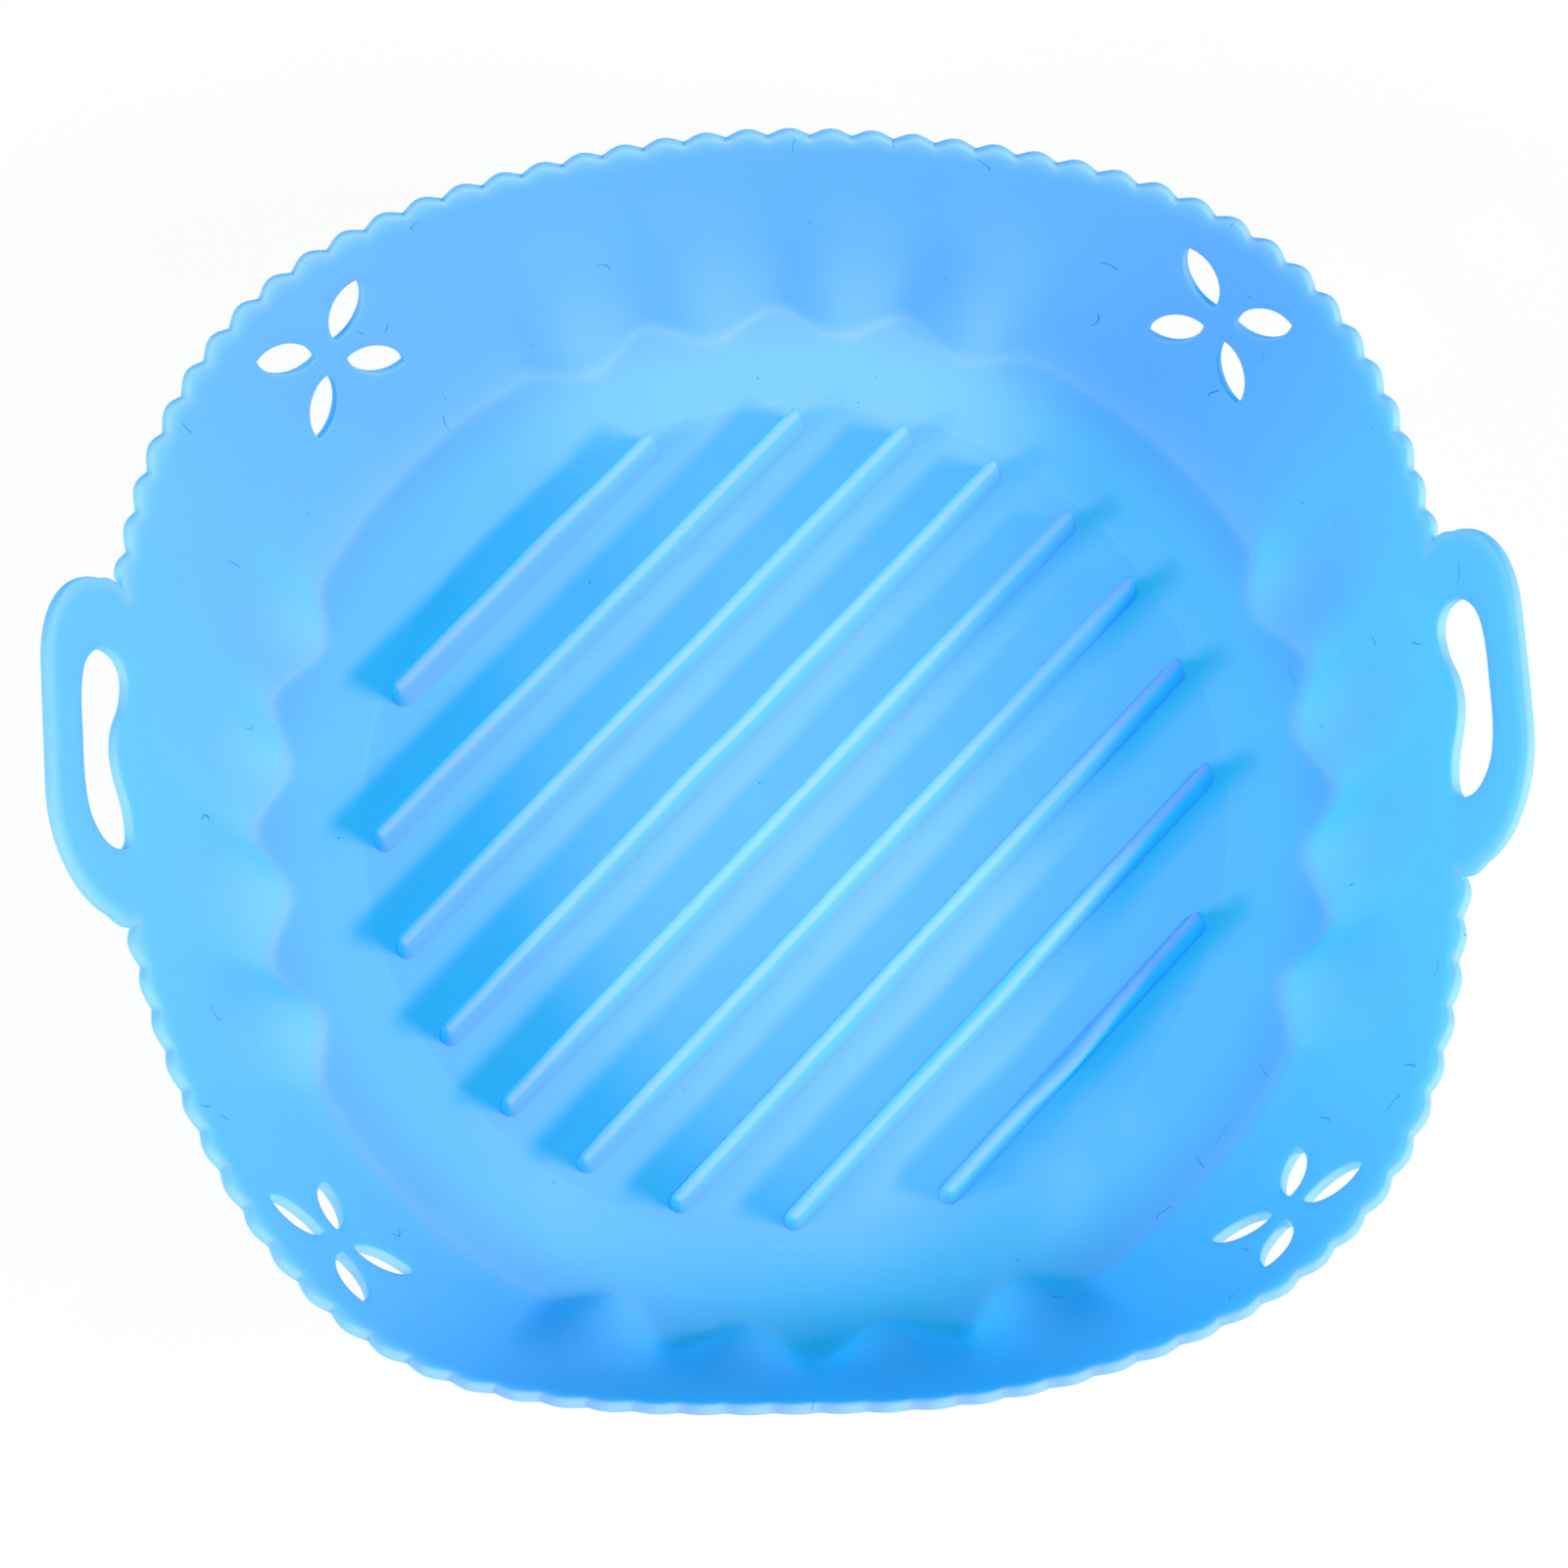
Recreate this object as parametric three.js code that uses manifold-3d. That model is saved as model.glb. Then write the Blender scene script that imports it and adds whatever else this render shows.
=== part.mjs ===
// Silicone air fryer liner: a round ribbed floor, a wall that opens into a rounded square, fluted
// sides, four corners with petal vents, a scalloped rim and two loop ears.
// Millimetres, +Z up. The origin is under the middle of the floor and the ears stand on the X axis.
import * as THREE from "three";
import { mergeVertices } from "three/addons/utils/BufferGeometryUtils.js";
import Module from "manifold-3d";

const wasm = await Module();
wasm.setup();

const degrees = THREE.MathUtils.degToRad;

// Floor
const FLOOR_THICKNESS = 1.6;
const FLOOR_RADIUS = 82; // middle of the wall sheet where it leaves the floor
const HEEL_ROUNDING = 1.2; // rounded outside edge under the wall
const RECESS_DEPTH = 0.4; // shallow round recess that the ribs stand in
const RECESS_MARGIN = 2.5; // from the rib ends out to the edge of the recess

// Wall and rim
const WALL_THICKNESS = 1.5;
const RIM_HEIGHT = 40; // tops of the scallops
const RIM_HALF_WIDTH = 92.5; // middle of the sheet, from the centre to the middle of a side
const RIM_SQUARENESS = 2.8; // 2 is a circle, larger is squarer
const RIM_BAND = 3; // scalloped edging, measured down from the tops of the scallops
const RIM_CREST = 0.6; // height of the rounded crest of the edging
const SCALLOPS_PER_HALF = 42;
const SCALLOP_DEPTH = 1.4;

// Flutes in the middle of each side
const FLUTES_PER_SIDE = 4;
const FLUTE_PITCH = degrees(14.6);
const FLUTE_DEPTH = 4.5;
const FLUTE_TOP = 32; // height where the flutes have run out

// Vents: four petals in each corner
const VENT_HEIGHT = 24;
const PETAL_OFFSET = 8; // vent centre to petal centre
const PETAL_LENGTH = 10.5;
const PETAL_WIDTH = 4.8;

// Ribs
const RIB_COUNT = 9;
const RIB_BEARING = degrees(45);
const RIB_FIELD_RADIUS = 62.5; // the rib ends lie on this circle
const RIB_FIELD_MARGIN = 6.9; // from the outermost ribs out to that circle
const RIB_HEIGHT = 6;
const RIB_BASE = 3;
const RIB_TOP = 1.6; // width of the rounded top
const RIB_END_ROUNDING = 1;

// Ears
const EAR_WIDTH = 47;
const EAR_RISE = 20; // bend line to the top of the loop
const EAR_CORNER = 15;
const EAR_THICKNESS = 1.6;
const EAR_LEAN = degrees(20); // outwards from upright
const SLOT_WIDTH = 28;
const SLOT_RISE = 12; // bend line to the top of the finger slot
const SLOT_CORNER = 8;
const THUMB_REST = 2.2; // hump in the wall under the finger slot
const CLEARANCE = 0.3;

// How finely curves are divided
const STEPS_PER_FLUTE = 8;
const STEPS_PER_CORNER = 8;
const STEPS_PER_SCALLOP = 4;
const WALL_ROWS = 7;

const RECESS_RADIUS = RIB_FIELD_RADIUS + RECESS_MARGIN;
const RIB_PITCH = (2 * (RIB_FIELD_RADIUS - RIB_FIELD_MARGIN)) / (RIB_COUNT - 1);
const WALL_TOP = RIM_HEIGHT - RIM_BAND;
const SIDE_HALF_ANGLE = (FLUTE_PITCH * FLUTES_PER_SIDE) / 2;
const QUARTER = Math.PI / 2;
const BEND_HEIGHT = WALL_TOP + EAR_THICKNESS / 2 + CLEARANCE;

const silicone = new THREE.MeshStandardMaterial({ color: 0x6cc0f8, roughness: 0.45, metalness: 0 });

const liner = new THREE.Group();
liner.name = "silicone_air_fryer_liner";

// Add one named solid to the liner.
function addPiece(name, geometry) {
  const mesh = new THREE.Mesh(geometry, silicone.clone());
  mesh.name = name;
  liner.add(mesh);
}

// The shared form of the wall

// Angle from the middle of the nearest side, between -45 and 45 degrees.
function angleInSide(theta) {
  return theta - QUARTER * Math.round(theta / QUARTER);
}

// Rim outline: a superellipse, so the sides are nearly flat and the corners are round.
function rimRadius(theta) {
  const c = Math.abs(Math.cos(theta)) ** RIM_SQUARENESS;
  const s = Math.abs(Math.sin(theta)) ** RIM_SQUARENESS;
  return RIM_HALF_WIDTH / (c + s) ** (1 / RIM_SQUARENESS);
}

// Share of the full flute depth: a wave along the side that fades out up the wall.
function fluteShare(theta, z) {
  const angle = angleInSide(theta);
  if (Math.abs(angle) >= SIDE_HALF_ANGLE || z >= FLUTE_TOP) return 0;
  const wave = Math.sin((Math.PI * angle) / FLUTE_PITCH) ** 2;
  const climb = Math.max(0, z - FLOOR_THICKNESS) / (FLUTE_TOP - FLOOR_THICKNESS);
  return (wave * (1 + Math.cos(Math.PI * climb))) / 2;
}

// Radius of the middle of the sheet: from the round floor to the rounded square rim.
function wallRadius(theta, z) {
  const climb = (z - FLOOR_THICKNESS) / (RIM_HEIGHT - FLOOR_THICKNESS);
  const plain = THREE.MathUtils.lerp(FLOOR_RADIUS, rimRadius(theta), climb);
  return plain - FLUTE_DEPTH * fluteShare(theta, z);
}

// Point of the wall at one height, moved outwards from the middle of the sheet.
function wallPoint(theta, z, outwards) {
  const at = (angle) => {
    const radius = wallRadius(angle, z);
    return new THREE.Vector3(radius * Math.cos(angle), radius * Math.sin(angle), z);
  };
  const along = at(theta + 1e-4).sub(at(theta - 1e-4)).normalize();
  return at(theta).add(new THREE.Vector3(along.y, -along.x, 0).multiplyScalar(outwards));
}

// Evenly stepped numbers from a to b, both included.
function steps(a, b, count) {
  return Array.from({ length: count + 1 }, (_, i) => a + ((b - a) * i) / count);
}

// Solid builders

// Turn the faces over if the closed surface is inside out.
function facingOut(positions, triangles) {
  let volume = 0;
  for (const [a, b, c] of triangles) {
    volume += positions[a].dot(positions[b].clone().cross(positions[c]));
  }
  return volume > 0 ? triangles : triangles.map(([a, b, c]) => [a, c, b]);
}

function closedGeometry(positions, triangles) {
  const geometry = new THREE.BufferGeometry().setFromPoints(positions);
  geometry.setIndex(facingOut(positions, triangles).flat());
  geometry.computeVertexNormals();
  return geometry;
}

// Skin a row of sections that have the same number of points, and cap both ends.
// flatten gives the plane coordinates in which a cap is divided into triangles.
function loft(sections, flatten) {
  const size = sections[0].length;
  const triangles = [];
  for (let s = 0; s + 1 < sections.length; s += 1) {
    for (let i = 0; i < size; i += 1) {
      const a = s * size + i;
      const b = s * size + ((i + 1) % size);
      triangles.push([a, b, b + size], [a, b + size, a + size]);
    }
  }
  const last = (sections.length - 1) * size;
  for (const [a, b, c] of THREE.ShapeUtils.triangulateShape(sections[0].map(flatten), [])) {
    triangles.push([a, c, b]);
  }
  for (const [a, b, c] of THREE.ShapeUtils.triangulateShape(sections.at(-1).map(flatten), [])) {
    triangles.push([last + a, last + b, last + c]);
  }
  return closedGeometry(sections.flat(), triangles);
}

function toManifold(geometry) {
  const bare = geometry.clone();
  bare.deleteAttribute("normal");
  bare.deleteAttribute("uv");
  const merged = mergeVertices(bare, 1e-4);
  return new wasm.Manifold(
    new wasm.Mesh({
      numProp: 3,
      vertProperties: new Float32Array(merged.attributes.position.array),
      triVerts: new Uint32Array(merged.index.array),
    }),
  );
}

// Cut the tools out of a solid.
function cut(geometry, tools) {
  const solid = tools.reduce((rest, tool) => rest.subtract(toManifold(tool)), toManifold(geometry));
  const mesh = solid.getMesh();
  const result = new THREE.BufferGeometry();
  result.setAttribute("position", new THREE.BufferAttribute(mesh.vertProperties, 3));
  result.setIndex(new THREE.BufferAttribute(mesh.triVerts, 1));
  result.computeVertexNormals();
  return result;
}

// Floor

// Angles of one turn, close together on the fluted sides and wider at the corners.
function turnAngles() {
  const angles = [];
  for (let side = 0; side < 4; side += 1) {
    const middle = side * QUARTER;
    angles.push(...sideAngles(middle).slice(0, -1), ...cornerAngles(middle + QUARTER / 2).slice(0, -1));
  }
  return angles;
}

function sideAngles(middle) {
  const count = FLUTES_PER_SIDE * STEPS_PER_FLUTE;
  return steps(middle - SIDE_HALF_ANGLE, middle + SIDE_HALF_ANGLE, count);
}

function cornerAngles(middle) {
  const half = QUARTER / 2 - SIDE_HALF_ANGLE;
  return steps(middle - half, middle + half, STEPS_PER_CORNER);
}

// Outline of the floor, drawn in from the foot of the wall by the rounding of the heel.
function floorRing(z) {
  const drop = Math.max(0, HEEL_ROUNDING - z);
  const inset = HEEL_ROUNDING - Math.sqrt(HEEL_ROUNDING ** 2 - drop ** 2);
  return turnAngles().map((theta) => {
    const foot = wallPoint(theta, FLOOR_THICKNESS, WALL_THICKNESS / 2 - inset);
    return foot.setZ(z);
  });
}

function addFloor() {
  const heights = [0, HEEL_ROUNDING * 0.3, HEEL_ROUNDING, FLOOR_THICKNESS];
  const pan = loft(heights.map(floorRing), (p) => new THREE.Vector2(p.x, p.y));
  const recess = new THREE.CylinderGeometry(RECESS_RADIUS, RECESS_RADIUS, 2 * RECESS_DEPTH, 72);
  recess.rotateX(QUARTER).translate(0, 0, FLOOR_THICKNESS);
  addPiece("floor_pan", cut(pan, [recess]));
}

// Ribs

// Cross section of a rib: sides drawn in to a rounded top.
function ribSection(x, height) {
  const half = RIB_TOP / 2;
  const outline = [[RIB_BASE / 2, 0]];
  for (const turn of steps(0, Math.PI, 4)) {
    outline.push([half * Math.cos(turn), height - half + half * Math.sin(turn)]);
  }
  outline.push([-RIB_BASE / 2, 0]);
  return outline.map(([y, z]) => new THREE.Vector3(x, y, z));
}

function addRib(number) {
  const offset = (number - (RIB_COUNT + 1) / 2) * RIB_PITCH;
  const reach = Math.sqrt(RIB_FIELD_RADIUS ** 2 - offset ** 2);
  const sections = [0, QUARTER / 2, QUARTER].map((turn) => [
    reach - RIB_END_ROUNDING * (1 - Math.cos(turn)),
    RIB_HEIGHT - RIB_END_ROUNDING * (1 - Math.sin(turn)),
  ]);
  const ends = [...sections.map(([x, h]) => [-x, h]), ...sections.toReversed()];
  const rib = loft(ends.map(([x, h]) => ribSection(x, h)), (p) => new THREE.Vector2(p.y, p.z));
  rib.translate(0, -offset, FLOOR_THICKNESS - RECESS_DEPTH).rotateZ(RIB_BEARING);
  addPiece(`rib_${number}`, rib);
}

// Wall panels

const panelPlane = (p) => new THREE.Vector2(Math.hypot(p.x, p.y), p.z);

// A panel of the wall over the given angles. top gives its height at each angle.
function wallPanel(angles, top) {
  const sections = angles.map((theta) => {
    const heights = steps(FLOOR_THICKNESS, top(theta), WALL_ROWS);
    const inside = heights.map((z) => wallPoint(theta, z, -WALL_THICKNESS / 2));
    const outside = heights.map((z) => wallPoint(theta, z, WALL_THICKNESS / 2));
    return [...outside, ...inside.toReversed()];
  });
  return loft(sections, panelPlane);
}

// The hump under the finger slot, on the two sides that carry an ear.
function thumbRest(theta) {
  const y = wallPoint(theta, WALL_TOP, 0).y;
  const share = Math.min(1, Math.abs(y) / (SLOT_WIDTH / 2));
  return WALL_TOP + (THUMB_REST * (1 + Math.cos(Math.PI * share))) / 2;
}

function addSides() {
  addPiece("wall_right", wallPanel(sideAngles(0), thumbRest));
  addPiece("wall_back", wallPanel(sideAngles(QUARTER), () => WALL_TOP));
  addPiece("wall_left", wallPanel(sideAngles(2 * QUARTER), thumbRest));
  addPiece("wall_front", wallPanel(sideAngles(3 * QUARTER), () => WALL_TOP));
}

// An almond-shaped cutter that lies along X and runs through the wall along Z.
function petalTool() {
  const l = PETAL_LENGTH / 2;
  const w = (PETAL_WIDTH * 2) / 3;
  const petal = new THREE.Shape();
  petal.moveTo(-l, 0);
  petal.bezierCurveTo(-l * 0.55, -w, l * 0.55, -w, l, 0);
  petal.bezierCurveTo(l * 0.55, w, -l * 0.55, w, -l, 0);
  const depth = WALL_THICKNESS * 8;
  const tool = new THREE.ExtrudeGeometry(petal, { depth, bevelEnabled: false, curveSegments: 6 });
  return tool.translate(0, 0, -depth / 2);
}

// Four petal cutters set diagonally about the vent centre, square to the wall.
function ventTools(corner) {
  const centre = wallPoint(corner, VENT_HEIGHT, 0);
  const along = wallPoint(corner + 0.01, VENT_HEIGHT, 0).sub(centre).normalize();
  const up = wallPoint(corner, VENT_HEIGHT + 1, 0).sub(centre).normalize();
  const place = new THREE.Matrix4().makeBasis(along, up, along.clone().cross(up)).setPosition(centre);
  return [1, 3, 5, 7].map((eighth) => {
    const tool = petalTool().translate(PETAL_OFFSET, 0, 0);
    return tool.rotateZ((eighth * QUARTER) / 2).applyMatrix4(place);
  });
}

function addCorners() {
  const names = ["back_right", "back_left", "front_left", "front_right"];
  names.forEach((name, i) => {
    const middle = (i + 0.5) * QUARTER;
    const panel = wallPanel(cornerAngles(middle), () => WALL_TOP);
    addPiece(`corner_${name}`, cut(panel, ventTools(middle)));
  });
}

// Rim

// Angle at which the edging stops, a clearance away from the side of an ear.
function earAngle() {
  const reach = EAR_WIDTH / 2 + CLEARANCE;
  let theta = 0;
  for (let i = 0; i < 20; i += 1) theta = Math.asin(reach / wallRadius(theta, WALL_TOP));
  return theta;
}

// Angles that divide the rim between two angles into equal lengths.
function evenRimAngles(from, to, count) {
  const fine = steps(from, to, 2000);
  const lengths = [0];
  for (let i = 1; i < fine.length; i += 1) {
    const a = wallPoint(fine[i - 1], RIM_HEIGHT, 0);
    lengths.push(lengths[i - 1] + a.distanceTo(wallPoint(fine[i], RIM_HEIGHT, 0)));
  }
  return steps(0, lengths.at(-1), count).map((length) => {
    const i = Math.max(1, lengths.findIndex((l) => l >= length - 1e-9));
    const share = (length - lengths[i - 1]) / (lengths[i] - lengths[i - 1]);
    return THREE.MathUtils.lerp(fine[i - 1], fine[i], share);
  });
}

// Half of the scalloped edging, from one ear round to the other.
function addRim(name, middle) {
  const half = QUARTER - earAngle();
  const angles = evenRimAngles(middle - half, middle + half, SCALLOPS_PER_HALF * STEPS_PER_SCALLOP);
  const sections = angles.map((theta, i) => {
    const bump = Math.abs(Math.sin((Math.PI * i) / STEPS_PER_SCALLOP));
    const top = RIM_HEIGHT - SCALLOP_DEPTH * (1 - bump);
    const side = WALL_THICKNESS / 2;
    return [
      wallPoint(theta, WALL_TOP, side),
      wallPoint(theta, top - RIM_CREST, side),
      wallPoint(theta, top, 0),
      wallPoint(theta, top - RIM_CREST, -side),
      wallPoint(theta, WALL_TOP, -side),
    ];
  });
  addPiece(name, loft(sections, panelPlane));
}

// Ears

// Loop outline in the plane of the ear: X along the bend line, Y up from it.
function earOutline() {
  const root = -EAR_THICKNESS / 2;
  const outer = EAR_WIDTH / 2;
  const inner = SLOT_WIDTH / 2;
  const ear = new THREE.Shape();
  ear.moveTo(inner, root);
  ear.lineTo(outer, root);
  ear.lineTo(outer, EAR_RISE - EAR_CORNER);
  ear.absarc(outer - EAR_CORNER, EAR_RISE - EAR_CORNER, EAR_CORNER, 0, QUARTER);
  ear.lineTo(-outer + EAR_CORNER, EAR_RISE);
  ear.absarc(-outer + EAR_CORNER, EAR_RISE - EAR_CORNER, EAR_CORNER, QUARTER, 2 * QUARTER);
  ear.lineTo(-outer, root);
  ear.lineTo(-inner, root);
  ear.lineTo(-inner, SLOT_RISE - SLOT_CORNER);
  ear.absarc(-inner + SLOT_CORNER, SLOT_RISE - SLOT_CORNER, SLOT_CORNER, 2 * QUARTER, QUARTER, true);
  ear.lineTo(inner - SLOT_CORNER, SLOT_RISE);
  ear.absarc(inner - SLOT_CORNER, SLOT_RISE - SLOT_CORNER, SLOT_CORNER, QUARTER, 0, true);
  ear.closePath();
  return ear;
}

// An ear stands on its bend line over the wall, with edges rounded through the full thickness.
function addEar(name, turn) {
  const round = EAR_THICKNESS / 2 - 0.05;
  const ear = new THREE.ExtrudeGeometry(earOutline(), {
    depth: EAR_THICKNESS - 2 * round,
    bevelThickness: round,
    bevelSize: round,
    bevelOffset: -round,
    bevelSegments: 2,
    curveSegments: 6,
  });
  const legMiddle = (EAR_WIDTH + SLOT_WIDTH) / 4;
  const bend = wallPoint(Math.asin(legMiddle / RIM_HALF_WIDTH), BEND_HEIGHT, 0);
  ear.translate(0, 0, round - EAR_THICKNESS / 2);
  ear.rotateX(QUARTER).rotateZ(QUARTER).rotateY(EAR_LEAN);
  ear.translate(bend.x, 0, BEND_HEIGHT).rotateZ(turn);
  addPiece(name, ear);
}

addFloor();
for (let number = 1; number <= RIB_COUNT; number += 1) addRib(number);
addSides();
addCorners();
addRim("rim_back", QUARTER);
addRim("rim_front", -QUARTER);
addEar("ear_right", 0);
addEar("ear_left", 2 * QUARTER);

export default liner;
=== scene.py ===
# %% [markdown]
# # A silicone air fryer liner
# The liner is one soft moulding: a round ribbed floor, a wall that opens into a rounded square,
# fluted sides, four corners with petal vents, a scalloped rim and two loop ears. This notebook
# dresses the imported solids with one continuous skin, so that the divisions between the solids
# disappear and the silicone looks moulded in one go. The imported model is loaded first, because it
# fixes the size, the place and the bodies that move.

import math

import bmesh
import bpy
import numpy as np
from mathutils import Matrix, Vector
from mathutils.geometry import delaunay_2d_cdt


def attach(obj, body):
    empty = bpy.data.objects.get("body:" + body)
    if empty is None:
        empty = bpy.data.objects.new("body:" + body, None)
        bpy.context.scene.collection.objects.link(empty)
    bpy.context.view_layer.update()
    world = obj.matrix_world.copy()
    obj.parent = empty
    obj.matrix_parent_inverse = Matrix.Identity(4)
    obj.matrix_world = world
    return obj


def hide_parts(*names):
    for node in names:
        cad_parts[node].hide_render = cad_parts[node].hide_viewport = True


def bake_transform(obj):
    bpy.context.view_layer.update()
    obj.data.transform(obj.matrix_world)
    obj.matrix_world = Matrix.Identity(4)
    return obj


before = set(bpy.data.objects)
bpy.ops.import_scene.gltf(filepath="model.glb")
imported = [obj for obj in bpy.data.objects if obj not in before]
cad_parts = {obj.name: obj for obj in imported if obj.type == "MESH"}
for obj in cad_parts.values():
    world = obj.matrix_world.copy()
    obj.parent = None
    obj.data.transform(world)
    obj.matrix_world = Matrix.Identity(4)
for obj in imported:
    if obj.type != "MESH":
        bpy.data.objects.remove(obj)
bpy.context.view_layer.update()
MM = 0.001

# %% [markdown]
# ## The camera
# The photograph looks steeply down from the front, about 75 degrees above the table, with a slight
# roll of the frame. The lens is a short telephoto at about half a metre, so the near ribs look a
# little larger than the far ones. A camera that is placed by its elevation, distance and roll is
# easier to correct than one with typed angles.

# %% Camera
ELEVATION = math.radians(74.6)
ROLL = math.radians(2.27)
DISTANCE = 0.4967
AIM = Vector((-0.0014, 0.0045, 0.0))
FOCAL_LENGTH = 75.7
SENSOR_WIDTH = 36.0
view_line = Vector((0.0, math.cos(ELEVATION), -math.sin(ELEVATION)))
camera = bpy.data.objects.new("camera", bpy.data.cameras.new("camera"))
camera.data.sensor_width = SENSOR_WIDTH
camera.data.lens = FOCAL_LENGTH
camera.data.clip_start = 0.01
place = Matrix.Translation(AIM - view_line * DISTANCE)
tilt = Matrix.Rotation(math.pi / 2 - ELEVATION, 4, "X")
camera.matrix_world = place @ tilt @ Matrix.Rotation(-ROLL, 4, "Z")
bpy.context.scene.collection.objects.link(camera)
bpy.context.scene.camera = camera
print("camera height in mm:", round(camera.location.z / MM))

# %% [markdown]
# ## The form of the wall
# Everything on the wall is drawn on one surface, given by an angle round the liner and a height.
# The floor is a circle and the rim is a superellipse, a square with round corners, and the wall
# runs straight from one to the other. Sixteen flutes push it in at the foot and fade out before
# the rim. A formula for the radius is shorter than a modelled mesh, and every later piece can ask
# it for a place. All lengths in this part are millimetres.

# %% Radius of the wall
FLOOR_RADIUS = 82.0
FLOOR_MIDDLE = 0.8
SHEET = 1.5
RIM_HEIGHT = 40.0
RIM_HALF_WIDTH = 92.5
SQUARENESS = 2.8
FLUTE_PITCH = math.radians(14.6)
FLUTE_DEPTH = 4.5
FLUTE_TOP = 32.0
QUARTER = math.pi / 2


def smooth(value, low, high):
    t = np.clip((value - low) / (high - low), 0, 1)
    return t * t * (3 - 2 * t)


def wall_radius(angle, z):
    power_sum = np.abs(np.cos(angle)) ** SQUARENESS + np.abs(np.sin(angle)) ** SQUARENESS
    rim = RIM_HALF_WIDTH / power_sum ** (1 / SQUARENESS)
    climb = (z - FLOOR_MIDDLE) / (RIM_HEIGHT - FLOOR_MIDDLE)
    in_side = angle - np.round(angle / QUARTER) * QUARTER
    in_flutes = np.abs(in_side) < 2 * FLUTE_PITCH
    wave = np.where(in_flutes, np.sin(math.pi * in_side / FLUTE_PITCH) ** 2, 0)
    fade = (1 + np.cos(math.pi * np.clip(z / FLUTE_TOP, 0, 1))) / 2
    return FLOOR_RADIUS + (rim - FLOOR_RADIUS) * climb - FLUTE_DEPTH * wave * fade


rim_corner = float(wall_radius(math.pi / 4, RIM_HEIGHT))
print("rim across flats and corners in mm:", 2 * RIM_HALF_WIDTH, round(2 * rim_corner))

# %% [markdown]
# ## Sides that lean into the ears
# The ears are flat and lean out, while the rim beside them is curved. On the real moulding the wall
# turns from one to the other without a line, so the wall's middle is drawn towards the ear's plane
# near the top of the left and right sides. Normals come from small steps along the surface, which
# works for any formula.

# %% Wall surface
EAR_LEAN = math.radians(20)
EAR_HALF_WIDTH = 23.5
BEND_X = 91.52
BEND_Z = 38.1
LEAN_FROM = 34.0
LEAN_TO = 41.0
FLAT_HALF_WIDTH = 20.0
FLAT_END = 32.0
FLAT_SPREAD = 20.0
EAR_SIDE = 60.0
TURN_STEP = 1e-4
RISE_STEP = 1e-3


def wall_middle(angle, z):
    radius = wall_radius(angle, z)
    x = radius * np.cos(angle)
    y = radius * np.sin(angle)
    ear_x = np.sign(x) * (BEND_X + (z - BEND_Z) * math.tan(EAR_LEAN))
    beside = np.abs(y) - np.clip(z - BEND_Z, 0, FLAT_SPREAD)
    share = smooth(z, LEAN_FROM, LEAN_TO) * (1 - smooth(beside, FLAT_HALF_WIDTH, FLAT_END))
    share = share * (np.abs(x) > EAR_SIDE)
    return np.stack([x + (ear_x - x) * share, y, z + 0 * x], -1)


def wall_normal(angle, z):
    along = wall_middle(angle + TURN_STEP, z) - wall_middle(angle - TURN_STEP, z)
    up = wall_middle(angle, z + RISE_STEP) - wall_middle(angle, z - RISE_STEP)
    normal = np.cross(up, along)
    return normal / np.linalg.norm(normal, axis=-1, keepdims=True)


def on_wall(angle, z, depth):
    angle, z = np.broadcast_arrays(np.asarray(angle, float), np.asarray(z, float))
    return wall_middle(angle, z) + wall_normal(angle, z) * depth


print("middle of the right side at the rim in mm:", on_wall(0.0, RIM_HEIGHT, 0.0).round(1))

# %% [markdown]
# ## How this soft wall stands
# Silicone this thin never stands perfectly true. The left side has moved out near its ear, the
# front left corner and the shoulders at the back have drawn in, and both ears have drifted back.
# Each such bend is a soft bump with a place round the rim, a reach to each side and a size. The
# bumps grow up the wall, so the floor stays flat on the table.

# %% Slump of the wall
# Degrees round the rim from the right ear, degrees to each side, and millimetres at the rim.
OUTWARD_BENDS = {
    "back right shoulder": (64, 28, -2.5),
    "back left shoulder": (116, 26, -2.5),
    "left ear root": (161, 36, 3.0),
    "front left corner": (215, 28, -3.8),
    "front edge": (258, 36, -1.1),
    "front right corner": (300, 26, -1.9),
    "right ear root": (335, 30, -1.0),
}
SIDEWAYS_BENDS = {"right ear": (0, 52, 1.4), "left ear": (180, 60, -1.7)}
STILL_HEIGHT = 2.0
SLUMP_POWER = 1.3


def rim_shift(bends, angle):
    shift = np.zeros_like(angle)
    for bend_place, reach, size in bends.values():
        off = (np.degrees(angle) - bend_place + 180) % 360 - 180
        shift += size * (1 + np.cos(math.pi * np.clip(off / reach, -1, 1))) / 2
    return shift


def slump(points):
    angle = np.arctan2(points[:, 1], points[:, 0])
    rise = (np.clip(points[:, 2] - STILL_HEIGHT, 0, RIM_HEIGHT) / RIM_HEIGHT) ** SLUMP_POWER
    out = rim_shift(OUTWARD_BENDS, angle) * rise
    along = rim_shift(SIDEWAYS_BENDS, angle) * rise
    moved = points.copy()
    moved[:, 0] += out * np.cos(angle) - along * np.sin(angle)
    moved[:, 1] += out * np.sin(angle) + along * np.cos(angle)
    return moved


rim_moves = rim_shift(OUTWARD_BENDS, np.radians(np.arange(360.0)))
print("rim shift in mm from", round(rim_moves.min(), 1), "to", round(rim_moves.max(), 1))

# %% [markdown]
# ## A notebook page for faces
# The skin is made of several patches: grids, flat patterns wrapped on the wall, and rounded edges.
# Each patch adds its points and faces to a list, and points that fall on each other are welded at
# the end. Every point also keeps a number of painted light, which the silicone reads later. Above
# zero the point is painted paler, a painted highlight on rounded edges, rims and the heel, and below
# zero it is painted deeper, painted shade on the rib flanks.

# %% Patch collector
WELD = 2e-6


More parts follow.
